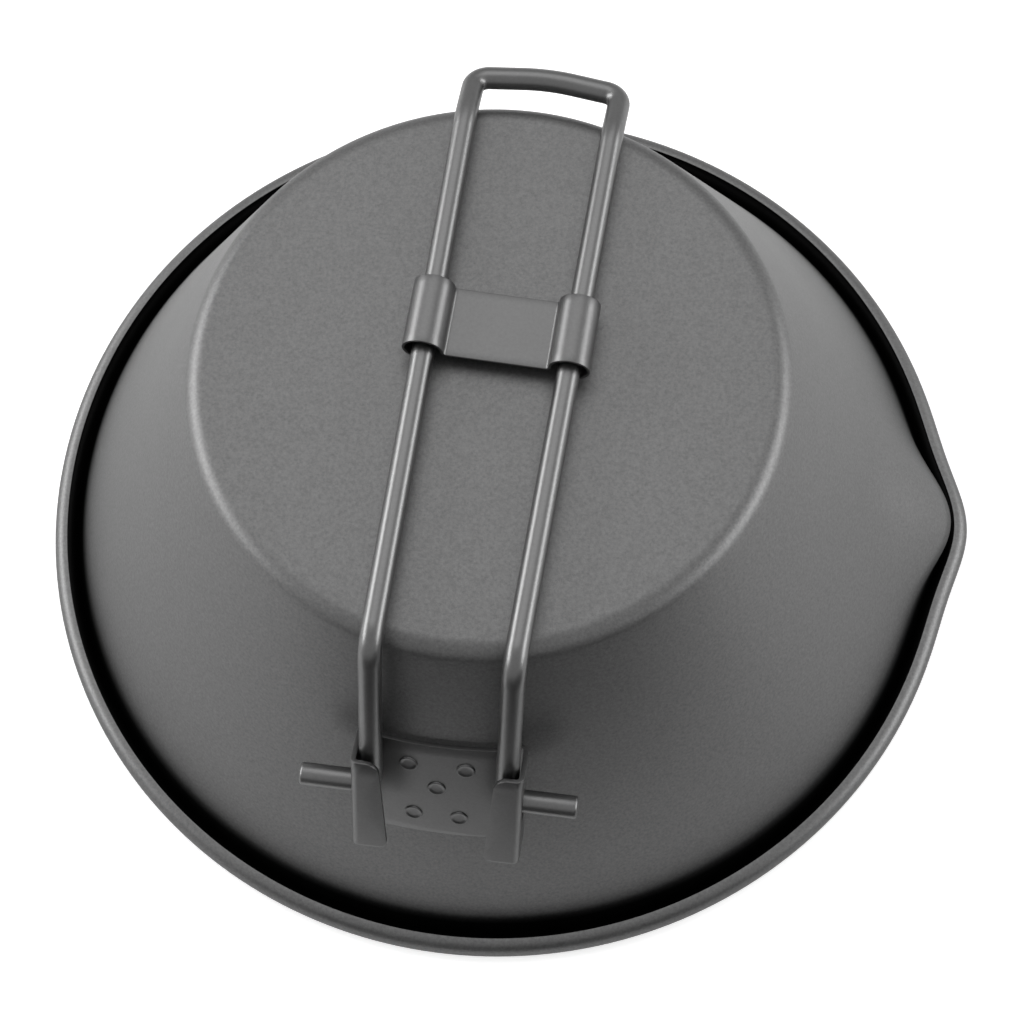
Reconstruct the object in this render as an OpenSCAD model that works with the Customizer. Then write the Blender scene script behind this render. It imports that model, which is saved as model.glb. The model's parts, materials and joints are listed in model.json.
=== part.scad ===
// Camping pot with a rolled rim, a pour spout and a folding wire handle with a sliding lock clip.
// The pot stands upside down on its rim: z = 0 is the rim plane, +Z points from the mouth to the base,
// the handle is hinged at -Y and the spout lies near +X.

/* [Pot] */
// Outer diameter over the rim bead
rim_diameter = 178; // [150:1:210]
// Height from the rim plane to the base
pot_height = 69.2; // [60:0.1:90]
// Diameter of the flat of the base
base_flat_diameter = 99; // [90:0.5:115]
// Outer radius of the corner between base and wall
base_corner_radius = 3; // [2:0.1:6]
// Thickness of the pot's sheet
sheet = 0.5; // [0.4:0.05:0.8]
// Outer diameter of the rolled rim bead
bead_diameter = 5.2; // [4:0.1:7]

/* [Spout] */
// Direction of the spout, counted from +X towards +Y
spout_direction = 4; // [-10:0.1:10]
// Radius of the spout in plan, on the bead's centre line
spout_radius = 40; // [30:1:50]
// How far the bead is pushed out at the tip of the spout
spout_reach = 3.4; // [1:0.1:6]
// How far the spout's wall leans out over the bead
spout_lean = 0.9; // [0:0.1:1.5]
// Height at which the spout has faded into the wall
spout_fade_height = 34; // [24:1:45]

/* [Bracket] */
// Thickness of the bracket's sheet
bracket_sheet = 0.8; // [0.6:0.05:1.2]
// How far an ear's lip stands off the wall, over its outer face
ear_depth = 7.4; // [7:0.1:9]
// Length of the ears along the wall, below the hinge
ear_below_hinge = 13.2; // [9:0.1:16]
// Length of the ears along the wall, above the hinge
ear_above_hinge = 8.4; // [6:0.1:11]
// Width of an ear's lip at its lower end
lip_width_low = 6.3; // [5:0.1:8]
// Width of an ear's lip at its upper end
lip_width_high = 4.8; // [4:0.1:6]
// Length of the bracket's plate below the hinge
plate_below_hinge = 15.4; // [11:0.1:18]
// Length of the bracket's plate above the hinge
plate_above_hinge = 7.4; // [5:0.1:9]
// Distance that a hinge pin can shift along its slot
slot_travel = 1.9; // [0.5:0.1:4]

/* [Spot welds] */
// Diameter of a spot weld
weld_diameter = 3.3; // [2:0.1:4]
// Height of a weld's raised ring above the plate
weld_height = 0.22; // [0.1:0.02:0.4]
// Distance between the two upper welds
weld_upper_pitch = 10; // [6:0.1:12]
// Distance between the two lower welds
weld_lower_pitch = 8.1; // [6:0.1:12]
// Distance from the upper to the lower welds, along the wall
weld_rows_pitch = 12.8; // [9:0.1:15]
// Sideways offset of the welds from the bracket's middle
weld_offset = -0.8; // [-1.5:0.1:1.5]

/* [Hinge] */
// Height of the hinge axis above the rim plane
hinge_height = 43.6; // [38:0.1:48]
// Distance of the hinge axis from the wall
hinge_standoff = 4; // [3.6:0.1:5]
// Radial clearance of a hinge pin in its slot
pin_clearance = 0.08; // [0.03:0.01:0.1]
// Length of a hinge pin outside its ear
pin_reach = 9.3; // [6:0.1:14]

/* [Wire handle] */
// Diameter of the wire
wire_diameter = 4; // [3:0.1:4.4]
// Distance between the two wires at the hinge
leg_pitch = 23.5; // [20:0.1:30]
// Distance between the two wires at the kink
kink_pitch = 23.8; // [20:0.1:30]
// Distance between the two wires at the loop end, where they have sprung apart
loop_pitch = 26.6; // [22:0.1:32]
// Angle by which the folded grip leans to one side
grip_lean = 1.6; // [-3:0.1:3]
// Depth of the kink in front of the pot's axis
kink_depth = 53.4; // [50:0.1:60]
// Distance from the pot's axis to the loop end of the handle
loop_reach = 58.2; // [54:0.1:70]
// Radius of the bend at the kink, on the wire's centre line
kink_radius = 6; // [4:0.5:9]
// Radius of the loop's two corners, on the wire's centre line
loop_corner_radius = 5.5; // [4:0.5:9]
// How far the loop's cross piece bows outwards
loop_bow = 1.5; // [0.5:0.1:4]
// How far the loop's cross piece lies below the grip
loop_drop = 3; // [0:0.1:6]
// Length of the bent-down end of the loop
loop_tail = 10; // [7:0.5:12]

/* [Lock clip] */
// Thickness of the clip's sheet
clip_sheet = 0.5; // [0.4:0.05:0.9]
// Length of the clip along the wires
clip_length = 12.8; // [8:0.1:20]
// Distance from the pot's axis to the clip's middle, towards the loop end
clip_position = 6.2; // [-30:0.1:30]
// Room between a wire and the inside of its sleeve, across the sleeve
sleeve_room = 2.2; // [1.6:0.1:3]
// Gap between the lowest part of the clip and the base
clip_gap = 0.2; // [0.1:0.05:1]

/* [Hidden] */
$fn = 96;

// Rounded steps of a profile's arc
corner_steps = 6;
bead_steps = 12;
// The spout's bead is this much thinner on each face than the round bead it joins
spout_inset = 0.04;
spout_edge_turn = 1;
// Height at which the spout's wall starts to slope back
spout_shoulder = 9;

// Small gap that keeps the plate and the wall two solids
seat_gap = 0.02;
// Clearance between the wire and an ear's side
side_clearance = 0.2;
// Rounded corners of the bracket
ear_bend_radius = 1.3;
root_fold_radius = 0.7;
plate_corner_radius = 1.5;
plate_end_radius = 0.3;
// How far the ears are first drawn into the wall, before the wall's face cuts them off
ear_root = 4;
lip_corner_radius = 2.4;
lip_end_radius = 1.2;
// Bend of a wire into its hinge pin, and the rounded edge of the pin's end
pin_bend_radius = 2.3;
pin_chamfer = 0.5;
wire_step = 0.01;
wire_overlap = 0.1;
// Radius of the gentle bends of the loop's end
tail_radius = 15;
bow_radius = 40;
// Bend of the clip's web into its sleeves, and how far a sleeve reaches under its wire
clip_fold_radius = 0.9;
sleeve_wrap = 112;

// ---- Pot profile, as radius and height ----
bead_outer = bead_diameter / 2;
bead_inner = bead_outer - sheet;
bead_centre = [rim_diameter / 2 - bead_outer, bead_outer];
corner_centre = [base_flat_diameter / 2, pot_height - base_corner_radius];
corner_inner = base_corner_radius - sheet;
// Slope of the wall, from the common tangent of the bead and the base corner
centre_line = bead_centre - corner_centre;
wall_slope = acos((bead_inner + base_corner_radius) / norm(centre_line))
    - atan2(-centre_line[1], centre_line[0]);
wall_normal = [cos(wall_slope), sin(wall_slope)];

function wall_radius(z, offset = 0) =
    bead_centre[0] + (offset - bead_inner - (z - bead_centre[1]) * sin(wall_slope)) / cos(wall_slope);
function arc(centre, radius, from, to, steps) =
    [for (i = [0:steps]) centre + radius * [cos(from + (to - from) * i / steps),
        sin(from + (to - from) * i / steps)]];

// Centre of the spout in plan, and the mitre where its bead meets the round bead
spout_centre = bead_centre[0] + spout_reach - spout_radius;
mitre_x = (pow(spout_centre, 2) + pow(bead_centre[0], 2) - pow(spout_radius, 2)) / (2 * spout_centre);
mitre_point = [mitre_x, sqrt(pow(bead_centre[0], 2) - pow(mitre_x, 2))];
mitre_angle = (atan2(mitre_point[1], mitre_point[0])
    + atan2(mitre_point[1], mitre_point[0] - spout_centre)) / 2;

function reversed(list) = [for (i = [len(list) - 1:-1:0]) list[i]];
function unit(v) = v / norm(v);
// Outline with each of its corners rounded to its own radius
function rounded_corner(a, b, c, radius) =
    let (
        half = acos(unit(a - b) * unit(c - b)) / 2,
        centre = b + unit(unit(a - b) + unit(c - b)) * radius / sin(half),
        from = b + unit(a - b) * radius / tan(half) - centre,
        to = b + unit(c - b) * radius / tan(half) - centre
    )
    [for (i = [0:corner_steps]) centre + radius * unit(from * (corner_steps - i) + to * i)];
function rounded(points, radii) =
    let (n = len(points))
    [for (i = [0:n - 1])
        each rounded_corner(points[(i + n - 1) % n], points[i], points[(i + 1) % n], radii[i])];

// ---- Frame of the bracket: x across, y up along the wall, z away from the wall ----
hinge_foot_height = hinge_height - hinge_standoff * sin(wall_slope);
hinge_foot_radius = wall_radius(hinge_foot_height);
hinge_depth = hinge_foot_radius + hinge_standoff * cos(wall_slope);
wire_radius = wire_diameter / 2;
ear_inner_half = leg_pitch / 2 + wire_radius + side_clearance;
ear_outer_half = ear_inner_half + bracket_sheet;
// Where the plate ends and its fold into an ear begins
plate_half = ear_inner_half - root_fold_radius;
plate_sag = (hinge_foot_radius - sqrt(pow(hinge_foot_radius, 2) - pow(plate_half, 2))) * cos(wall_slope);
weld_upper_row = 2.1;
weld_middle_row = -3.3;

// ---- Handle and clip heights ----
sleeve_inner = wire_radius + sleeve_room / 2;
sleeve_outer = sleeve_inner + clip_sheet;
sleeve_height = pot_height + clip_gap + sleeve_outer;
// The wires' centres lie this much below the sleeves' centres
wire_sag = 0.5;
grip_height = sleeve_height - wire_sag;

// Half the distance between the wires at a place along the grip
function wire_across(y) =
    (kink_pitch + (loop_pitch - kink_pitch) * (y + kink_depth) / (loop_reach - loop_bow + kink_depth)) / 2;
sleeve_pitch = 2 * wire_across(clip_position);

// Turns a point of the grip about the middle of the kink
function leaned(point) = [
    point[0] * cos(grip_lean) + (point[1] + kink_depth) * sin(grip_lean),
    (point[1] + kink_depth) * cos(grip_lean) - point[0] * sin(grip_lean) - kink_depth,
    point[2]
];

// Corner points of one half of the wire, from the end of the pin to the middle of the loop
function side_points(side) =
    let (
        loop_start = loop_reach - loop_bow,
        tail_start = loop_start - loop_tail,
        loop_height = grip_height - loop_drop
    )
    [
        [side * (ear_outer_half + pin_reach), -hinge_depth, hinge_height],
        [side * leg_pitch / 2, -hinge_depth, hinge_height],
        leaned([side * kink_pitch / 2, -kink_depth, grip_height]),
        leaned([side * wire_across(tail_start), tail_start, grip_height]),
        leaned([side * loop_pitch / 2, loop_start, loop_height]),
        leaned([0, loop_reach, loop_height])
    ];

function bend_angle(a, b, c) = acos(unit(b - a) * unit(c - b));
function bend_reach(a, b, c, radius) = radius * tan(bend_angle(a, b, c) / 2);

// A straight run is a hair thinner than the bends at its ends and reaches a little into them
module straight_wire(a, b, before = wire_overlap, after = wire_overlap, chamfer = 0) {
    run = b - a;
    length = norm(run) + before + after;
    radius = wire_radius - wire_step;
    translate(a - unit(run) * before)
        rotate([0, acos(run[2] / norm(run)), atan2(run[1], run[0])])
            rotate_extrude()
                polygon(concat(
                    [[0, 0]],
                    chamfer == 0 ? [[radius, 0]] : [[radius - chamfer, 0], [radius, chamfer]],
                    [[radius, length], [0, length]]
                ));
}

// A quarter-like piece of a ring that turns the wire from the line a-b into the line b-c
module wire_bend(a, b, c, radius) {
    angle = bend_angle(a, b, c);
    reach = radius * tan(angle / 2);
    start = b + unit(a - b) * reach;
    centre = b + unit(unit(a - b) + unit(c - b)) * radius / cos(angle / 2);
    x_axis = unit(start - centre);
    z_axis = unit(cross(b - a, c - b));
    y_axis = cross(z_axis, x_axis);
    multmatrix([
        [x_axis[0], y_axis[0], z_axis[0], centre[0]],
        [x_axis[1], y_axis[1], z_axis[1], centre[1]],
        [x_axis[2], y_axis[2], z_axis[2], centre[2]],
        [0, 0, 0, 1]
    ])
        rotate_extrude(angle = angle)
            translate([radius, 0])
                circle(r = wire_radius);
}

module on_wall() {
    translate([0, -hinge_foot_radius, hinge_foot_height])
        rotate([90 - wall_slope, 0, 0])
            children();
}

// ---- Pot ----
module pot_revolve() {
    outline = concat(
        [[0, pot_height]],
        arc(corner_centre, base_corner_radius, 90, wall_slope, corner_steps),
        arc(bead_centre, bead_inner, 180 + wall_slope, 450, bead_steps),
        reversed(arc(bead_centre, bead_outer, 180 + wall_slope, 450, bead_steps)),
        arc(corner_centre, corner_inner, wall_slope, 90, corner_steps),
        [[0, pot_height - sheet]]
    );
    rotate_extrude($fn = 180)
        polygon(outline);
}

// Region inside the spout's half of the bead's two mitres
module spout_wedge(height) {
    apex = [mitre_point[0] - mitre_point[1] / tan(mitre_angle), 0];
    far = rim_diameter * [cos(mitre_angle), sin(mitre_angle)];
    translate([0, 0, -1])
        linear_extrude(height + 1)
            polygon([apex, apex + [far[0], -far[1]], apex + far]);
}

// Outline of the spout's wall about its own axis, with an offset from the outer face
function spout_face(offset) = [
    [spout_radius - bead_inner + offset * cos(wall_slope), bead_centre[1]],
    [spout_radius - bead_inner + spout_lean + offset, bead_diameter],
    [spout_radius - bead_inner + spout_lean + offset, spout_shoulder],
    [wall_radius(spout_fade_height) - spout_centre + offset, spout_fade_height]
];
module spout_solid(offset) {
    face = spout_face(offset);
    translate([spout_centre, 0, 0])
        rotate_extrude($fn = 120)
            polygon(concat([[0, face[0][1]]], face, [[0, spout_fade_height]]));
}

module pot_cavity() {
    rotate_extrude($fn = 180)
        polygon([
            [0, -1],
            [wall_radius(-1, -sheet), -1],
            [wall_radius(spout_fade_height + 1, -sheet), spout_fade_height + 1],
            [0, spout_fade_height + 1]
        ]);
}

module spout_bead() {
    outline = concat(
        arc([spout_radius, bead_centre[1]], bead_inner + spout_inset, 180, 450 - spout_edge_turn, bead_steps),
        reversed(arc([spout_radius, bead_centre[1]], bead_outer - spout_inset, 180, 450 - spout_edge_turn,
            bead_steps))
    );
    intersection() {
        translate([spout_centre, 0, 0])
            rotate_extrude(angle = 180, start = -90, $fn = 120)
                polygon(outline);
        spout_wedge(bead_diameter);
    }
}

module pot_body() {
    color("darkgray")
        rotate([0, 0, spout_direction])
            union() {
                difference() {
                    union() {
                        difference() {
                            pot_revolve();
                            spout_wedge(bead_diameter + spout_inset);
                        }
                        difference() {
                            spout_solid(0);
                            pot_cavity();
                        }
                    }
                    spout_solid(-sheet / cos(wall_slope));
                }
                spout_bead();
            }
}

// The space inside the wall's outer face, grown by an offset
module wall_solid(offset) {
    top = pot_height - base_corner_radius;
    rotate_extrude($fn = 180)
        polygon([
            [0, bead_diameter],
            [wall_radius(bead_diameter, offset), bead_diameter],
            [wall_radius(top, offset), top],
            [0, top]
        ]);
}

// ---- Bracket with two folded ears ----
module bracket_plate() {
    outline = rounded(
        [
            [-plate_half, -plate_below_hinge],
            [plate_half, -plate_below_hinge],
            [plate_half, plate_above_hinge],
            [-plate_half, plate_above_hinge]
        ],
        [plate_corner_radius, plate_corner_radius, plate_end_radius, plate_end_radius]
    );
    intersection() {
        wall_solid(seat_gap + bracket_sheet);
        on_wall()
            translate([0, 0, -ear_root])
                linear_extrude(ear_root + ear_depth / 2)
                    polygon(outline);
    }
}

// An ear on the +X side: a side wall folded up from the plate and folded over into a lip
module ear() {
    root_centre = [plate_half, seat_gap + bracket_sheet - plate_sag + root_fold_radius];
    fold_centre = [ear_outer_half - ear_bend_radius, ear_depth - ear_bend_radius];
    tip = ear_outer_half - lip_width_low;
    section = concat(
        [[plate_half - 1, -ear_root], [plate_half, -ear_root]],
        arc(root_centre, root_fold_radius + bracket_sheet, -90, 0, corner_steps),
        arc(fold_centre, ear_bend_radius, 0, 90, corner_steps),
        [[tip, ear_depth], [tip, ear_depth - bracket_sheet]],
        arc(fold_centre, ear_bend_radius - bracket_sheet, 90, 0, corner_steps),
        arc(root_centre, root_fold_radius, 0, -90, corner_steps),
        [[plate_half - 1, root_centre[1] - root_fold_radius]]
    );
    outline = rounded(
        [
            [tip, -ear_below_hinge],
            [ear_outer_half + 1, -ear_below_hinge],
            [ear_outer_half + 1, ear_above_hinge],
            [ear_outer_half - lip_width_high, ear_above_hinge]
        ],
        [lip_end_radius, 0.1, 0.1, lip_corner_radius]
    );
    intersection() {
        translate([0, ear_above_hinge + 1, 0])
            rotate([90, 0, 0])
                linear_extrude(ear_above_hinge + ear_below_hinge + 2)
                    polygon(section);
        translate([0, 0, -ear_root - 1])
            linear_extrude(ear_root + ear_depth + 2)
                polygon(outline);
    }
}

// Slots of both ears; the pins rest at their upper ends
module hinge_slots() {
    slot_radius = wire_radius + pin_clearance;
    for (shift = [0, -slot_travel])
        translate([0, shift, hinge_standoff])
            rotate([0, 90, 0])
                cylinder(r = slot_radius, h = 2 * ear_outer_half + 2, center = true);
    translate([-ear_outer_half - 1, -slot_travel, hinge_standoff - slot_radius])
        cube([2 * ear_outer_half + 2, slot_travel, 2 * slot_radius]);
}

module handle_bracket() {
    color("silver")
        difference() {
            union() {
                bracket_plate();
                on_wall()
                    ear();
                on_wall()
                    mirror([1, 0, 0])
                        ear();
            }
            wall_solid(seat_gap);
            on_wall()
                hinge_slots();
        }
}

// ---- Spot welds ----
// One weld at a distance across from the pot's middle plane and a distance up from the hinge
module weld_button(across, up) {
    section = [
        [0, 0],
        [weld_diameter / 2, 0],
        [weld_diameter / 2, weld_height * 0.3],
        [weld_diameter * 0.38, weld_height],
        [weld_diameter * 0.25, weld_height * 0.5],
        [0, weld_height * 0.6]
    ];
    height = hinge_foot_height + up * cos(wall_slope);
    radius = wall_radius(height, seat_gap + bracket_sheet);
    rotate([0, 0, asin(across / radius)])
        translate([0, -radius, height])
            rotate([90 - wall_slope, 0, 0])
                rotate_extrude()
                    polygon(section);
}

module spot_welds() {
    lower_row = weld_upper_row - weld_rows_pitch;
    color("gray") {
        for (side = [-1, 1]) {
            weld_button(weld_offset + side * weld_upper_pitch / 2, weld_upper_row);
            weld_button(weld_offset + side * weld_lower_pitch / 2, lower_row);
        }
        weld_button(weld_offset, weld_middle_row);
    }
}

// ---- Wire handle ----
// End of the bend at corner i of a side, towards the next corner
function bend_end(points, i, radius) =
    points[i] + unit(points[i + 1] - points[i])
        * bend_reach(points[i - 1], points[i], points[i + 1], radius);
// Start of the bend at corner i of a side, seen from the corner before it
function bend_start(points, i, radius) =
    points[i] + unit(points[i - 1] - points[i])
        * bend_reach(points[i - 1], points[i], points[i + 1], radius);

module leg(side) {
    points = side_points(side);
    straight_wire(points[0], bend_start(points, 1, pin_bend_radius), before = 0, chamfer = pin_chamfer);
    wire_bend(points[0], points[1], points[2], pin_bend_radius);
    straight_wire(bend_end(points, 1, pin_bend_radius), bend_start(points, 2, kink_radius), after = 0);
}

module bail_legs() {
    color("lightgray") {
        leg(1);
        leg(-1);
    }
}

module grip_half(side) {
    points = side_points(side);
    middle = points[5];
    wire_bend(points[1], points[2], points[3], kink_radius);
    straight_wire(bend_end(points, 2, kink_radius), bend_start(points, 3, tail_radius));
    wire_bend(points[2], points[3], points[4], tail_radius);
    straight_wire(bend_end(points, 3, tail_radius), bend_start(points, 4, loop_corner_radius));
    wire_bend(points[3], points[4], points[5], loop_corner_radius);
    straight_wire(
        bend_end(points, 4, loop_corner_radius),
        middle + unit(points[4] - middle) * bend_reach(points[4], middle, side_points(-side)[4], bow_radius)
    );
}

module bail_grip() {
    points = side_points(1);
    color("lightgray") {
        grip_half(1);
        grip_half(-1);
        wire_bend(points[4], points[5], side_points(-1)[4], bow_radius);
    }
}

// ---- Sliding lock clip ----
module clip_half() {
    web_end = sleeve_pitch / 2 - (sleeve_inner + sleeve_outer) / 2 - clip_fold_radius;
    web_height = -clip_fold_radius - clip_sheet / 2;
    translate([0, 0, web_height])
        cube([web_end, clip_length, clip_sheet]);
    translate([web_end, clip_length, 0])
        rotate([90, 0, 0])
            rotate_extrude(angle = 90, start = -90)
                translate([clip_fold_radius - clip_sheet / 2, 0])
                    square([clip_sheet, clip_length]);
    translate([sleeve_pitch / 2, clip_length, 0])
        rotate([90, 0, 0])
            rotate_extrude(angle = 180 + sleeve_wrap, start = -sleeve_wrap)
                translate([sleeve_inner, 0])
                    square([clip_sheet, clip_length]);
}

module slide_clip() {
    color("slategray")
        translate([0, -kink_depth, sleeve_height])
            rotate([0, 0, -grip_lean])
                translate([0, kink_depth + clip_position - clip_length / 2, 0]) {
                    clip_half();
                    mirror([1, 0, 0])
                        clip_half();
                }
}

pot_body();
handle_bracket();
spot_welds();
bail_grip();
bail_legs();
slide_clip();
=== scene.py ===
import json
import math

import bmesh
import bpy
from mathutils import Matrix, Vector


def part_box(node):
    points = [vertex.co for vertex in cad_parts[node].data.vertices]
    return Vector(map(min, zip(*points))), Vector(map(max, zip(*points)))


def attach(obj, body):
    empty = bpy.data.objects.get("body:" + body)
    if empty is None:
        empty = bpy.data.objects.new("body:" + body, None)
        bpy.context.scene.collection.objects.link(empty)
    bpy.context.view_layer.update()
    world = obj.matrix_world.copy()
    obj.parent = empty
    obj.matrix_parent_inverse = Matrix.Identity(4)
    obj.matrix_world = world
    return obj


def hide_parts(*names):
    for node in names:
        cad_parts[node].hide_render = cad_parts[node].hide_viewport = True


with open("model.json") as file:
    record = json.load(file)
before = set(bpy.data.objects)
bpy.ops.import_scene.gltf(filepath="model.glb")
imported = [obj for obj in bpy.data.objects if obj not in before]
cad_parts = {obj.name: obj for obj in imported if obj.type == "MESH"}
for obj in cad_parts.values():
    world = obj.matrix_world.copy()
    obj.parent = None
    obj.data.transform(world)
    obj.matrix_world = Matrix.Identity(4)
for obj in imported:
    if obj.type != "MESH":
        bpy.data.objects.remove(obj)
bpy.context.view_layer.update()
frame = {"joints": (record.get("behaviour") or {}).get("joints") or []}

# An upturned camping pot: spun titanium shell with a rolled rim and a pressed spout, a folded
# bracket, and a wire handle that lies over the base, held by a sliding clip.
MM = 0.001

# ---- Sizes taken from the frame ----
pot_low, pot_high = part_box("pot_body")
bracket_low, bracket_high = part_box("handle_bracket")
legs_low, legs_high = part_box("bail_legs")
grip_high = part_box("bail_grip")[1]
clip_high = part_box("slide_clip")[1]
HINGE = Vector(next(joint["pos_m"] for joint in frame["joints"] if joint["name"] == "handle_swing"))

# ---- Pot ----
RIM_RADIUS = -pot_low[1]
POT_HEIGHT = pot_high[2]
BASE_FLAT_RADIUS = 48.8 * MM
BASE_CORNER = 4.2 * MM
SHEET = 0.5 * MM
BEAD_OUTER = 2.6 * MM
BEAD_INNER = BEAD_OUTER - SHEET
BEAD_CENTRE = (RIM_RADIUS - BEAD_OUTER, BEAD_OUTER)
BEAD_TOP = 2 * BEAD_OUTER
CORNER_CENTRE = (BASE_FLAT_RADIUS, POT_HEIGHT - BASE_CORNER)
# Slope of the wall from the vertical: the common tangent of the bead and the base corner
CENTRES_RUN = (BEAD_CENTRE[0] - CORNER_CENTRE[0], BEAD_CENTRE[1] - CORNER_CENTRE[1])
SLOPE = (math.acos((BEAD_INNER + BASE_CORNER) / math.hypot(*CENTRES_RUN))
         - math.atan2(-CENTRES_RUN[1], CENTRES_RUN[0]))

SPOUT_DIRECTION = math.radians(4.3)
SPOUT_SPREAD = math.radians(5.4)
SPOUT_REACH = pot_high[0] - RIM_RADIUS
SPOUT_FADE = 36 * MM
# How far the spout's wall leans out over the roll, and the heights between which it is widest
SPOUT_BULGE = 3.2 * MM
BULGE_RISE = 0.8 * BEAD_TOP
BULGE_SHOULDER = 1.6 * BEAD_TOP
# Heights up the wall at which the painted shade of the roll's hollow is full and at which it ends
HOLLOW_LOW = 0.75 * BEAD_TOP
HOLLOW_TOP = 7.5 * MM

# ---- Bracket ----
BRACKET_SHEET = 0.8 * MM
EAR_OUTER_HALF = (bracket_high[0] - bracket_low[0]) / 2
EAR_DEPTH = 7.4 * MM
EAR_BELOW, EAR_ABOVE = 13.2 * MM, 8.4 * MM
PLATE_BELOW, PLATE_ABOVE = 15.4 * MM, 7.4 * MM
LIP_LOW, LIP_HIGH = 6.3 * MM, 4.8 * MM
FOLD_LOW, FOLD_TOP = 1.1 * MM, 0.9 * MM
HINGE_STANDOFF = 4.0 * MM
SLOT_TRAVEL = 1.9 * MM
SLOT_RADIUS = 2.08 * MM
SEAT_GAP = 0.02 * MM
# Rounding left on the cut edges of bent sheet
EDGE_BREAK = 0.12 * MM
WELD_DIAMETER = 3.3 * MM
WELD_SHIFT = -0.8 * MM

# ---- Wire handle ----
WIRE_RADIUS = 2.0 * MM
PIN_HALF = (legs_high[0] - legs_low[0]) / 2
LEG_HALF = 11.75 * MM
KINK_HALF = 11.9 * MM
LOOP_HALF = 13.3 * MM
GRIP_LEAN = math.radians(1.6)
GRIP_HEIGHT = grip_high[2] - WIRE_RADIUS
KINK_DEPTH = 53.4 * MM
LOOP_REACH = grip_high[1] - WIRE_RADIUS
LOOP_BOW = 1.5 * MM
LOOP_DROP = 3.0 * MM
LOOP_TAIL = 10.0 * MM
# Bend radii on the wire's centre line, from the pin to the middle of the loop
PIN_BEND = 2.3 * MM
KINK_BEND = 6.0 * MM
TAIL_BEND = 15.0 * MM
LOOP_CORNER = 3.0 * MM
BOW_BEND = 40.0 * MM

# ---- Sliding clip ----
CLIP_SHEET = 0.5 * MM
SLEEVE_RADIUS = 3.35 * MM
CLIP_LENGTH = 12.8 * MM
CLIP_PLACE = 6.2 * MM
CLIP_FOLD = 0.9 * MM
SLEEVE_WRAP = math.radians(112)


# ---- Metals and studio ----
ROUGHNESS_SPREAD = 0.12
GRAIN_RELIEF = 0.05 * MM
# Dark grey painted as shade into the roll's hollow and the foot of the wall
PAINTED_HOLLOW_SHADE = (0.012, 0.012, 0.012, 1)
AMBIENT = 0.55
FLOOR_GLOW = 0.5
FLOOR_HALF = 3.0
# Turn of the camera and its card about the pot's axis, away from the handle's side
CAMERA_TURN = math.radians(12.66)
LIGHTS_AIM = (0, 0, 0.03)


# ---- Small geometry helpers ----
def arc(centre, radius, start, end, steps):
    """Points of a circular arc in a plane, from one angle to another."""
    angles = [start + (end - start) * i / steps for i in range(steps + 1)]
    return [(centre[0] + radius * math.cos(a), centre[1] + radius * math.sin(a)) for a in angles]


def smooth(value):
    """Eases a value between 0 and 1."""
    value = min(1.0, max(0.0, value))
    return value * value * (3 - 2 * value)


def rounded_path(corners, steps=8, closed=False):
    """A line through (point, radius) corners, each turned on an arc of its own radius."""
    points = []
    count = len(corners)
    for i, (corner, radius) in enumerate(corners):
        if radius == 0 or (not closed and i in (0, count - 1)):
            points.append(Vector(corner))
            continue
        corner = Vector(corner)
        back = (Vector(corners[i - 1][0]) - corner).normalized()
        ahead = (Vector(corners[(i + 1) % count][0]) - corner).normalized()
        half = back.angle(ahead) / 2
        centre = corner + (back + ahead).normalized() * radius / math.sin(half)
        first = corner + back * radius / math.tan(half) - centre
        last = corner + ahead * radius / math.tan(half) - centre
        for step in range(steps + 1):
            points.append(centre + (first * (steps - step) + last * step).normalized() * radius)
    return points


def piece_from(name, points, faces, material):
    mesh = bpy.data.meshes.new(name)
    mesh.from_pydata([tuple(point) for point in points], [], faces)
    mesh.validate()
    for polygon in mesh.polygons:
        polygon.use_smooth = True
    piece = bpy.data.objects.new(name, mesh)
    bpy.context.scene.collection.objects.link(piece)
    mesh.materials.append(material)
    return piece


def grid_faces(rows, columns, wrap_rows=False, wrap_columns=False):
    faces = []
    for i in range(rows if wrap_rows else rows - 1):
        for j in range(columns if wrap_columns else columns - 1):
            a, b = i * columns, (i + 1) % rows * columns
            k = (j + 1) % columns
            faces.append((a + j, a + k, b + k, b + j))
    return faces


def sharpen(piece, degrees=35):
    """Keeps edges crisp where the surface turns by more than the angle."""
    bm = bmesh.new()
    bm.from_mesh(piece.data)
    bmesh.ops.recalc_face_normals(bm, faces=bm.faces)
    for edge in bm.edges:
        edge.smooth = len(edge.link_faces) == 2 and edge.calc_face_angle() < math.radians(degrees)
    bm.to_mesh(piece.data)
    bm.free()


def add_modifier(piece, kind, name, **settings):
    modifier = piece.modifiers.new(name, kind)
    for key, value in settings.items():
        setattr(modifier, key, value)


# ---- Shader node groups ----
def socket(group, name, way, kind, default=None):
    made = group.interface.new_socket(name=name, in_out=way, socket_type="NodeSocket" + kind)
    if default is not None:
        made.default_value = default


def new_group(name, inputs, outputs):
    group = bpy.data.node_groups.new(name, "ShaderNodeTree")
    for label, kind, default in inputs:
        socket(group, label, "INPUT", kind, default)
    for label, kind in outputs:
        socket(group, label, "OUTPUT", kind)
    source = group.nodes.new("NodeGroupInput")
    target = group.nodes.new("NodeGroupOutput")
    return group, source.outputs, target.inputs


def math_node(tree, operation, a, b=None, clamp=False):
    node = tree.nodes.new("ShaderNodeMath")
    node.operation = operation
    node.use_clamp = clamp
    for value, port in ((a, node.inputs[0]), (b, node.inputs[1])):
        if isinstance(value, bpy.types.NodeSocket):
            tree.links.new(value, port)
        elif value is not None:
            port.default_value = value
    return node.outputs[0]


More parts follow.
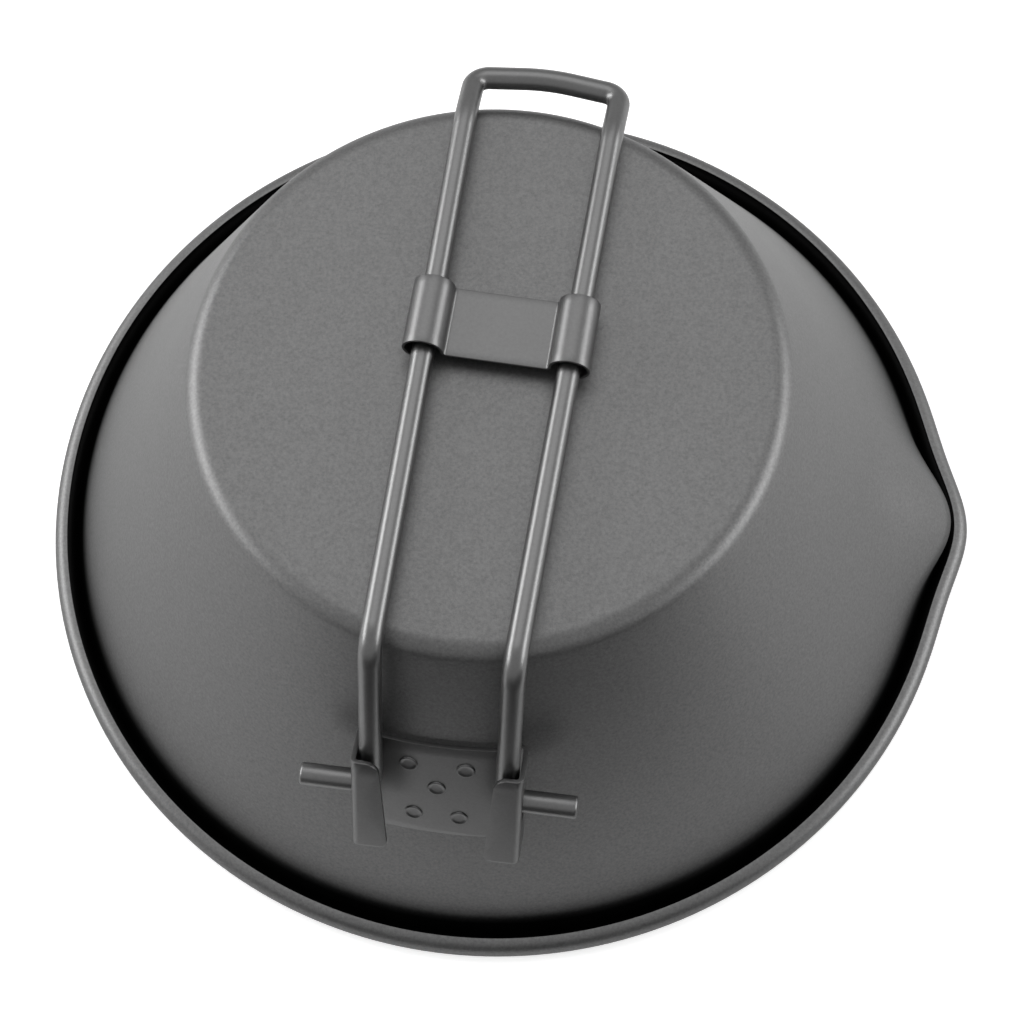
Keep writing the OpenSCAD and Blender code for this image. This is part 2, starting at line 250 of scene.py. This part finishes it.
def noise_node(tree, vector, scale, detail=3.0, roughness=0.55):
    node = tree.nodes.new("ShaderNodeTexNoise")
    node.inputs["Detail"].default_value = detail
    node.inputs["Roughness"].default_value = roughness
    tree.links.new(vector, node.inputs["Vector"])
    if isinstance(scale, bpy.types.NodeSocket):
        tree.links.new(scale, node.inputs["Scale"])
    else:
        node.inputs["Scale"].default_value = scale
    return node.outputs["Fac"]


def blasted_grain_group():
    """Fine pitted grain of a bead-blasted sheet: a tone around 1, a height and a roughness."""
    group, inputs, outputs = new_group(
        "blasted_grain",
        [("Grain Scale", "Float", 1800.0), ("Tone Depth", "Float", 0.1), ("Cloud Depth", "Float", 0.1)],
        [("Tone", "Float"), ("Height", "Float"), ("Spread", "Float")],
    )
    place = group.nodes.new("ShaderNodeTexCoord").outputs["Object"]
    grain = noise_node(group, place, inputs["Grain Scale"], 4.0, 0.7)
    cloud = noise_node(group, place, 38.0, 3.0, 0.6)
    centred = math_node(group, "SUBTRACT", grain, 0.5)
    drift = math_node(group, "SUBTRACT", cloud, 0.5)
    tone = math_node(group, "ADD", math_node(group, "MULTIPLY", centred, inputs["Tone Depth"]),
                     math_node(group, "MULTIPLY", drift, inputs["Cloud Depth"]))
    group.links.new(math_node(group, "ADD", tone, 1.0), outputs["Tone"])
    group.links.new(grain, outputs["Height"])
    group.links.new(drift, outputs["Spread"])
    return group


def paint_hollow_shade(tree, colour, shader):
    """Blends the metal's colour to a dark grey in the closed hollow inside the rolled rim: painted shade.
    """
    depth = tree.nodes.new("ShaderNodeAttribute")
    depth.attribute_name = "roll_hollow_painted_shade"
    blend = tree.nodes.new("ShaderNodeMix")
    blend.data_type = "RGBA"
    blend.inputs["B"].default_value = PAINTED_HOLLOW_SHADE
    tree.links.new(depth.outputs["Fac"], blend.inputs["Factor"])
    tree.links.new(colour, blend.inputs["A"])
    tree.links.new(blend.outputs["Result"], shader.inputs["Base Color"])


def metal_material(name, grey, roughness, grain, tone_depth, bump, hollow=False):
    """A grey metal whose colour, roughness and relief vary with the blasted grain."""
    material = bpy.data.materials.new(name)
    material.use_nodes = True
    tree = material.node_tree
    shader = tree.nodes["Principled BSDF"]
    shader.inputs["Metallic"].default_value = 1.0
    effect = tree.nodes.new("ShaderNodeGroup")
    effect.node_tree = grain
    effect.inputs["Tone Depth"].default_value = tone_depth
    tint = tree.nodes.new("ShaderNodeMix")
    tint.data_type = "RGBA"
    tint.blend_type = "MULTIPLY"
    tint.inputs["Factor"].default_value = 1.0
    tint.inputs["A"].default_value = (grey, grey, grey, 1)
    tree.links.new(effect.outputs["Tone"], tint.inputs["B"])
    spread = math_node(tree, "MULTIPLY", effect.outputs["Spread"], ROUGHNESS_SPREAD)
    tree.links.new(math_node(tree, "ADD", spread, roughness), shader.inputs["Roughness"])
    # Painted shade: blends the colour to dark grey in the roll's hollow
    if hollow:
        paint_hollow_shade(tree, tint.outputs["Result"], shader)
    else:
        tree.links.new(tint.outputs["Result"], shader.inputs["Base Color"])
    relief = tree.nodes.new("ShaderNodeBump")
    relief.inputs["Strength"].default_value = bump
    relief.inputs["Distance"].default_value = GRAIN_RELIEF
    tree.links.new(effect.outputs["Height"], relief.inputs["Height"])
    tree.links.new(relief.outputs["Normal"], shader.inputs["Normal"])
    return material


# ---- Pot shell ----
def wall_radius(z, offset=0.0):
    return BEAD_CENTRE[0] + (offset - BEAD_INNER - (z - BEAD_CENTRE[1]) * math.sin(SLOPE)) / math.cos(SLOPE)


def pot_profile():
    """Radius and height of the sheet's two faces, from the base's middle out and back again."""
    top = POT_HEIGHT
    base_outer = [(BASE_FLAT_RADIUS * i / 8, top) for i in range(8)]
    corner_outer = arc(CORNER_CENTRE, BASE_CORNER, math.pi / 2, SLOPE, 12)
    corner_inner = arc(CORNER_CENTRE, BASE_CORNER - SHEET, SLOPE, math.pi / 2, 10)
    roll_start, roll_end = math.pi + SLOPE, math.radians(455)
    roll_inner = arc(BEAD_CENTRE, BEAD_INNER, roll_start, roll_end, 40)
    roll_outer = arc(BEAD_CENTRE, BEAD_OUTER, roll_end, roll_start, 40)
    wall_steps = 26

    def wall(start, end):
        return [tuple(a + (b - a) * i / wall_steps for a, b in zip(start, end))
                for i in range(1, wall_steps)]

    base_inner = [(BASE_FLAT_RADIUS * (7 - i) / 8, top - SHEET) for i in range(8)]
    outside = base_outer + corner_outer + wall(corner_outer[-1], roll_inner[0])
    roll = roll_inner + roll_outer
    inside = wall(roll_outer[-1], corner_inner[0]) + corner_inner + base_inner
    return ([(r, z, False) for r, z in outside] + [(r, z, True) for r, z in roll]
            + [(r, z, False) for r, z in inside])


def spout_push(angle, z):
    """How far the spout moves the sheet outwards at an angle and a height."""
    turn = (angle - SPOUT_DIRECTION + math.pi) % math.tau - math.pi
    bump = math.exp(-0.5 * (turn / SPOUT_SPREAD) ** 2)
    climb = (z - BEAD_TOP) / (SPOUT_FADE - BEAD_TOP)
    return SPOUT_REACH * bump * smooth(1 - climb)


def spout_lean(angle, z):
    """How far the spout's wall bulges over the roll, above the roll's tangent point."""
    turn = (angle - SPOUT_DIRECTION + math.pi) % math.tau - math.pi
    bump = math.exp(-0.5 * (turn / (1.25 * SPOUT_SPREAD)) ** 2)
    rise = smooth((z - BEAD_OUTER) / BULGE_RISE)
    fall = smooth(1 - (z - BULGE_SHOULDER) / (SPOUT_FADE - BULGE_SHOULDER))
    return SPOUT_BULGE * bump * rise * fall


def pot_angles():
    """Angles around the pot, closer together over the spout."""
    angles = [math.tau * i / 240 for i in range(240)]
    extra = [SPOUT_DIRECTION + SPOUT_SPREAD * (i - 32) / 10 for i in range(65)]
    low, high = extra[0], extra[-1]
    kept = [a for a in angles if not (low - 0.01 < (a + math.pi) % math.tau - math.pi < high + 0.01)]
    return sorted([(a + math.tau) % math.tau for a in kept + extra])


def mark_painted_hollow_shade(pot):
    """Stores how deep each point lies in the hollow between the roll and the wall, as the strength of the
    painted shade there.
    """
    depth = pot.data.attributes.new("roll_hollow_painted_shade", "FLOAT", "POINT")
    for vertex in pot.data.vertices:
        x, y, z = vertex.co
        angle = math.atan2(y, x)
        reach = math.hypot(x, y) - spout_push(angle, z)
        from_roll = math.hypot(reach - BEAD_CENTRE[0], z - BEAD_CENTRE[1])
        in_roll = from_roll < BEAD_INNER + 0.1 * SHEET
        on_wall_foot = (z < HOLLOW_TOP and reach < BEAD_CENTRE[0] and vertex.normal.xy.dot((x, y)) > 0
                        and abs(reach - wall_radius(z)) < 0.4 * SHEET + spout_lean(angle, z))
        foot = 0.0
        if on_wall_foot:
            # The spout's wall closes the hollow, so its foot gets less painted shade and stays light
            open_share = 1 - 0.8 * spout_lean(angle, BULGE_SHOULDER) / SPOUT_BULGE
            foot = smooth((HOLLOW_TOP - z) / (HOLLOW_TOP - HOLLOW_LOW)) * open_share
        depth.data[vertex.index].value = 1.0 if in_roll else foot


def build_pot(material):
    profile = pot_profile()
    angles = pot_angles()
    points = []
    for angle in angles:
        for radius, z, is_roll in profile:
            reach = radius
            if radius > BASE_FLAT_RADIUS:
                reach += spout_push(angle, z) + (0 if is_roll else spout_lean(angle, z))
            points.append((reach * math.cos(angle), reach * math.sin(angle), z))
    pot = piece_from("pot_shell", points, grid_faces(len(angles), len(profile), wrap_rows=True), material)
    bm = bmesh.new()
    bm.from_mesh(pot.data)
    bmesh.ops.remove_doubles(bm, verts=bm.verts, dist=1e-7)
    bm.to_mesh(pot.data)
    bm.free()
    sharpen(pot, 50)
    mark_painted_hollow_shade(pot)
    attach(pot, "pot")
    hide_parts("pot_body")


# ---- Bracket: a flat blank folded into two ears, in the hinge's own frame ----
FOOT_HEIGHT = HINGE.z - HINGE_STANDOFF * math.sin(SLOPE)
ACROSS = Vector((1, 0, 0))
UP_WALL = Vector((0, math.sin(SLOPE), math.cos(SLOPE)))
OFF_WALL = Vector((0, -math.cos(SLOPE), math.sin(SLOPE)))
FOOT = Vector((HINGE.x, -wall_radius(FOOT_HEIGHT), FOOT_HEIGHT))
PLATE_MIDDLE = SEAT_GAP + BRACKET_SHEET / 2


def on_wall(x, u, w):
    return FOOT + ACROSS * x + UP_WALL * u + OFF_WALL * w


def plate_height(x, u):
    """Height of the conical plate's middle surface in the hinge's frame."""
    radius = wall_radius(FOOT_HEIGHT + u * math.cos(SLOPE), PLATE_MIDDLE)
    return PLATE_MIDDLE - (radius - math.sqrt(radius * radius - x * x)) * math.cos(SLOPE)


SIDE_MIDDLE = EAR_OUTER_HALF - BRACKET_SHEET / 2
PLATE_TILT = math.asin((SIDE_MIDDLE - FOLD_LOW) / (wall_radius(FOOT_HEIGHT) / math.cos(SLOPE)))
PLATE_HALF = SIDE_MIDDLE - FOLD_LOW - FOLD_LOW * math.sin(PLATE_TILT)
BEND_LOW_LENGTH = FOLD_LOW * (math.pi / 2 + PLATE_TILT)
SIDE_LENGTH = EAR_DEPTH - BRACKET_SHEET / 2 - FOLD_TOP - plate_height(PLATE_HALF, 0.0) - FOLD_LOW
BEND_TOP_LENGTH = FOLD_TOP * math.pi / 2
AT_SIDE = PLATE_HALF + BEND_LOW_LENGTH
AT_TOP = AT_SIDE + SIDE_LENGTH
AT_LIP = AT_TOP + BEND_TOP_LENGTH


def fold(s, u):
    """Place of a point of the flat blank, s across and u along, once it is folded."""
    side = -1 if s < 0 else 1
    s = abs(s)
    if s <= PLATE_HALF:
        return on_wall(side * s, u, plate_height(side * s, u))
    low_centre = plate_height(side * PLATE_HALF, u) + FOLD_LOW * math.cos(PLATE_TILT)
    top_centre = EAR_DEPTH - BRACKET_SHEET / 2 - FOLD_TOP
    if s <= AT_SIDE:
        turn = (s - PLATE_HALF) / FOLD_LOW - PLATE_TILT
        return on_wall(side * (SIDE_MIDDLE - FOLD_LOW + FOLD_LOW * math.sin(turn)), u,
                       low_centre - FOLD_LOW * math.cos(turn))
    if s <= AT_TOP:
        share = (s - AT_SIDE) / SIDE_LENGTH
        return on_wall(side * SIDE_MIDDLE, u, low_centre + (top_centre - low_centre) * share)
    if s <= AT_LIP:
        turn = (s - AT_TOP) / FOLD_TOP
        return on_wall(side * (SIDE_MIDDLE - FOLD_TOP + FOLD_TOP * math.cos(turn)), u,
                       top_centre + FOLD_TOP * math.sin(turn))
    return on_wall(side * (SIDE_MIDDLE - FOLD_TOP - (s - AT_LIP)), u, top_centre + FOLD_TOP)


def blank_outline():
    """One half of the blank's edge, from the middle of its lower side to that of its upper side."""
    lip_start = SIDE_MIDDLE - FOLD_TOP
    tip_low = AT_LIP + lip_start - (EAR_OUTER_HALF - LIP_LOW)
    tip_high = AT_LIP + lip_start - (EAR_OUTER_HALF - LIP_HIGH)
    notch = PLATE_HALF - 0.2 * MM
    return [
        ((notch, -PLATE_BELOW), 1.6 * MM),
        ((notch, -EAR_BELOW), 0.3 * MM),
        ((tip_low, -EAR_BELOW), 1.4 * MM),
        ((tip_high, EAR_ABOVE), 2.6 * MM),
        ((notch, EAR_ABOVE), 0.3 * MM),
        ((notch, PLATE_ABOVE), 0.2 * MM),
    ]


def build_bracket(material):
    half = blank_outline()
    mirrored = [((-s, u), radius) for (s, u), radius in reversed(half)]
    edge = rounded_path(half + mirrored, steps=7, closed=True)
    slot_at = AT_SIDE + (HINGE_STANDOFF - plate_height(PLATE_HALF, 0.0) - FOLD_LOW)
    bm = bmesh.new()

    def loop(points):
        verts = [bm.verts.new((p[0], p[1], 0)) for p in points]
        return [bm.edges.new((verts[i], verts[(i + 1) % len(verts)])) for i in range(len(verts))]

    edges = loop(edge)
    for side in (-1, 1):
        hole = arc((side * slot_at, 0), SLOT_RADIUS, 0, math.pi, 16)
        hole += arc((side * slot_at, -SLOT_TRAVEL), SLOT_RADIUS, math.pi, math.tau, 16)
        edges += loop(hole)
    bmesh.ops.triangle_fill(bm, edges=edges, use_beauty=True)
    across = [PLATE_HALF * i / 9 for i in range(10)]
    across += [PLATE_HALF + BEND_LOW_LENGTH * i / 6 for i in range(1, 7)]
    across += [AT_TOP + BEND_TOP_LENGTH * i / 6 for i in range(7)]
    for s in across:
        for side in ((-1, 1) if s else (1,)):
            bmesh.ops.bisect_plane(bm, geom=bm.verts[:] + bm.edges[:] + bm.faces[:], dist=1e-8,
                                   plane_co=(side * s, 0, 0), plane_no=(1, 0, 0))
    for step in range(1, 9):
        u = -PLATE_BELOW + (PLATE_BELOW + PLATE_ABOVE) * step / 9
        bmesh.ops.bisect_plane(bm, geom=bm.verts[:] + bm.edges[:] + bm.faces[:], dist=1e-8,
                               plane_co=(0, u, 0), plane_no=(0, 1, 0))
    for vert in bm.verts:
        vert.co = fold(vert.co.x, vert.co.y)
    bmesh.ops.recalc_face_normals(bm, faces=bm.faces)
    mesh = bpy.data.meshes.new("folded_bracket")
    bm.to_mesh(mesh)
    bm.free()
    for polygon in mesh.polygons:
        polygon.use_smooth = True
    bracket = bpy.data.objects.new("folded_bracket", mesh)
    bpy.context.scene.collection.objects.link(bracket)
    mesh.materials.append(material)
    add_modifier(bracket, "SOLIDIFY", "sheet", thickness=BRACKET_SHEET, offset=0, use_even_offset=True)
    add_modifier(bracket, "BEVEL", "broken_edges", width=EDGE_BREAK, segments=2, limit_method="ANGLE",
                 angle_limit=math.radians(50), harden_normals=False)
    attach(bracket, "pot")
    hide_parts("handle_bracket")


# ---- Spot welds ----
def build_welds(material):
    """Five round weld marks with a raised ring, pressed on the bracket's plate."""
    places = [(-5.0, 2.1), (5.0, 2.1), (0.0, -3.3), (-4.05, -10.7), (4.05, -10.7)]
    section = [(0.0, 0.07), (0.5, 0.06), (0.66, 0.09), (0.8, 0.2), (0.9, 0.22), (0.98, 0.14), (1.0, -0.05)]
    steps = 40
    points, faces = [], []
    for x, u in places:
        x, u = x * MM + WELD_SHIFT, u * MM
        start = len(points)
        for share, height in section:
            for i in range(steps):
                angle = math.tau * i / steps
                radius = share * WELD_DIAMETER / 2
                px, pu = x + radius * math.cos(angle), u + radius * math.sin(angle)
                face = plate_height(px, pu) + BRACKET_SHEET / 2
                points.append(on_wall(px, pu, face + height * MM))
        faces += [tuple(start + corner for corner in face)
                  for face in grid_faces(len(section), steps, wrap_columns=True)]
    welds = piece_from("spot_weld_marks", points, faces, material)
    bm = bmesh.new()
    bm.from_mesh(welds.data)
    bmesh.ops.remove_doubles(bm, verts=bm.verts, dist=1e-7)
    bmesh.ops.recalc_face_normals(bm, faces=bm.faces)
    bm.to_mesh(welds.data)
    bm.free()
    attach(welds, "pot")
    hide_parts("spot_welds")


# ---- Wire handle ----
def tube(name, path, radius, material, sides=32):
    """A round wire along a path, with softly broken edges at its two cut ends."""
    rows = []
    tangent = (path[1] - path[0]).normalized()
    across = tangent.orthogonal().normalized()
    for i, point in enumerate(path):
        before, after = path[max(i - 1, 0)], path[min(i + 1, len(path) - 1)]
        ahead = (after - before).normalized()
        turn = tangent.rotation_difference(ahead)
        across = (turn @ across).normalized()
        tangent = ahead
        rows.append((point, across, tangent.cross(across)))
    end_cut = [(0.0, 0.0), (0.62, 0.0), (0.82, 0.05), (0.95, 0.22), (1.0, 0.5)]
    points = []

    def ring(centre, first, second, size):
        for k in range(sides):
            angle = math.tau * k / sides
            points.append(centre + (first * math.cos(angle) + second * math.sin(angle)) * size)

    start_way, end_way = (path[1] - path[0]).normalized(), (path[-2] - path[-1]).normalized()
    for share, depth in end_cut:
        ring(path[0] + start_way * depth * MM, rows[0][1], rows[0][2], radius * share)
    for centre, first, second in rows[1:-1]:
        ring(centre, first, second, radius)
    for share, depth in reversed(end_cut):
        ring(path[-1] + end_way * depth * MM, rows[-1][1], rows[-1][2], radius * share)
    count = len(points) // sides
    piece = piece_from(name, points, grid_faces(count, sides, wrap_columns=True), material)
    bm = bmesh.new()
    bm.from_mesh(piece.data)
    bmesh.ops.remove_doubles(bm, verts=bm.verts, dist=1e-7)
    bmesh.ops.recalc_face_normals(bm, faces=bm.faces)
    bm.to_mesh(piece.data)
    bm.free()
    return piece


def wire_across(y):
    """Half the distance between the wires at a place along the grip."""
    return KINK_HALF + (LOOP_HALF - KINK_HALF) * (y + KINK_DEPTH) / (LOOP_REACH - LOOP_BOW + KINK_DEPTH)


def leaned(x, y, z):
    """Turns a point of the grip about the middle of the kink."""
    along = y + KINK_DEPTH
    return Vector((x * math.cos(GRIP_LEAN) + along * math.sin(GRIP_LEAN),
                   along * math.cos(GRIP_LEAN) - x * math.sin(GRIP_LEAN) - KINK_DEPTH, z))


def handle_side(side):
    """Corners of one side of the handle, from its pin to the loop, with their bend radii."""
    loop_start = LOOP_REACH - LOOP_BOW
    tail_start = loop_start - LOOP_TAIL
    low = GRIP_HEIGHT - LOOP_DROP
    return [
        ((side * PIN_HALF, HINGE.y, HINGE.z), 0),
        ((side * LEG_HALF, HINGE.y, HINGE.z), PIN_BEND),
        (leaned(side * KINK_HALF, -KINK_DEPTH, GRIP_HEIGHT), KINK_BEND),
        (leaned(side * wire_across(tail_start), tail_start, GRIP_HEIGHT), TAIL_BEND),
        (leaned(side * LOOP_HALF, loop_start, low), LOOP_CORNER),
    ]


def build_handle(material):
    middle = [(leaned(0, LOOP_REACH, GRIP_HEIGHT - LOOP_DROP), BOW_BEND)]
    corners = handle_side(-1) + middle + list(reversed(handle_side(1)))
    handle = tube("wire_handle", rounded_path(corners, steps=14), WIRE_RADIUS, material)
    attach(handle, "bail")
    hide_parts("bail_grip", "bail_legs")


# ---- Sliding clip ----
def build_clip(material):
    """A strip of sheet with a flat web and a sleeve rolled round each wire."""
    centre_z = clip_high[2] - SLEEVE_RADIUS - CLIP_SHEET / 2
    sleeve_x = wire_across(CLIP_PLACE)
    web_end = sleeve_x - SLEEVE_RADIUS - CLIP_FOLD
    half = [(web_end * i / 6, centre_z - CLIP_FOLD) for i in range(6)]
    half += arc((web_end, centre_z), CLIP_FOLD, -math.pi / 2, 0, 8)
    half += arc((sleeve_x, centre_z), SLEEVE_RADIUS, math.pi, -SLEEVE_WRAP, 44)[1:]
    section = [(-x, z) for x, z in reversed(half[1:])] + half
    rows = 9
    points = [leaned(x, CLIP_PLACE + CLIP_LENGTH * (i / (rows - 1) - 0.5), z)
              for i in range(rows) for x, z in section]
    clip = piece_from("slide_lock_clip", points, grid_faces(rows, len(section)), material)
    add_modifier(clip, "SOLIDIFY", "sheet", thickness=CLIP_SHEET, offset=0, use_even_offset=True)
    add_modifier(clip, "BEVEL", "broken_edges", width=EDGE_BREAK, segments=2, limit_method="ANGLE",
                 angle_limit=math.radians(50))
    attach(clip, "clip")
    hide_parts("slide_clip")


# ---- Studio ----
def build_camera():
    data = bpy.data.cameras.new("studio_camera")
    data.sensor_width = 36
    data.lens = 78.93
    camera = bpy.data.objects.new("studio_camera", data)
    right = Vector((0.99586163, -0.08632966, -0.02840422))
    up = Vector((0.09075017, 0.92774469, 0.36201409))
    turn = Matrix.Rotation(CAMERA_TURN, 4, "Z")
    back = right.cross(up)
    pose = Matrix((right, up, back)).transposed().to_4x4()
    pose.translation = Vector((0, -163.346, 419.307)) * MM
    camera.matrix_world = turn @ pose
    bpy.context.scene.collection.objects.link(camera)
    bpy.context.scene.camera = camera


def area_light(name, place, size, power):
    data = bpy.data.lights.new(name, "AREA")
    data.shape = "RECTANGLE"
    data.size, data.size_y = size
    data.energy = power
    light = bpy.data.objects.new(name, data)
    light.location = place
    light.rotation_euler = (Vector(LIGHTS_AIM) - Vector(place)).to_track_quat("-Z", "Y").to_euler()
    bpy.context.scene.collection.objects.link(light)


def build_world():
    world = bpy.data.worlds.new("soft_studio")
    bpy.context.scene.world = world
    world.use_nodes = True
    tree = world.node_tree
    background = tree.nodes["Background"]
    path = tree.nodes.new("ShaderNodeLightPath")
    seen = math_node(tree, "ADD", path.outputs["Is Camera Ray"], path.outputs["Is Transmission Ray"], True)
    level = math_node(tree, "ADD", math_node(tree, "MULTIPLY", seen, 1.0 - AMBIENT), AMBIENT)
    background.inputs["Color"].default_value = (1, 1, 1, 1)
    tree.links.new(level, background.inputs["Strength"])


def build_floor():
    points = [(x * FLOOR_HALF, y * FLOOR_HALF, 0) for x, y in ((-1, -1), (1, -1), (1, 1), (-1, 1))]
    material = bpy.data.materials.new("pale_floor")
    material.use_nodes = True
    tree = material.node_tree
    shader = tree.nodes["Principled BSDF"]
    shader.inputs["Base Color"].default_value = (0.9, 0.9, 0.9, 1)
    shader.inputs["Roughness"].default_value = 0.9
    shader.inputs["Emission Color"].default_value = (1, 1, 1, 1)
    path = tree.nodes.new("ShaderNodeLightPath")
    seen = math_node(tree, "MULTIPLY", path.outputs["Is Camera Ray"], FLOOR_GLOW)
    tree.links.new(seen, shader.inputs["Emission Strength"])
    floor = piece_from("studio_floor", points, [(0, 1, 2, 3)], material)


def build_front_card():
    """A dark card low in front of the pot that only its reflections show."""
    half_width, reach, lean_back, height = 0.19, -0.15, 0.03, 0.11
    turn = Matrix.Rotation(CAMERA_TURN, 3, "Z")
    corners = [(-half_width, reach, 0.001), (half_width, reach, 0.001),
               (half_width, reach - lean_back, height), (-half_width, reach - lean_back, height)]
    material = bpy.data.materials.new("dark_card")
    material.use_nodes = True
    material.node_tree.nodes["Principled BSDF"].inputs["Base Color"].default_value = (0.05, 0.05, 0.05, 1)
    card = piece_from("front_card", [turn @ Vector(corner) for corner in corners], [(0, 1, 2, 3)], material)
    card.visible_camera = False
    card.visible_diffuse = False
    card.visible_shadow = False


def build_studio():
    bpy.context.scene.view_settings.view_transform = "Standard"
    build_world()
    build_floor()
    area_light("key_left", (-0.95, 0.12, 0.45), (1.0, 0.45), 7)
    area_light("fill_right", (0.95, 0.15, 0.42), (1.0, 0.4), 5)
    area_light("back_top", (-0.1, 0.52, 1.15), (1.2, 0.9), 3.1)
    build_front_card()


build_camera()
build_studio()
blasted_grain = blasted_grain_group()
# Each metal: its grey, roughness, grain, depth of the grain's tone and strength of its relief
# The shell's material also carries the painted shade of the roll's hollow
build_pot(metal_material("blasted_titanium", 0.178, 0.46, blasted_grain, 0.9, 0.7, hollow=True))
build_bracket(metal_material("bracket_titanium", 0.18, 0.4, blasted_grain, 0.3, 0.3))
build_welds(metal_material("weld_titanium", 0.15, 0.36, blasted_grain, 0.2, 0.2))
build_handle(metal_material("satin_wire", 0.19, 0.36, blasted_grain, 0.3, 0.3))
build_clip(metal_material("clip_titanium", 0.175, 0.4, blasted_grain, 0.3, 0.3))
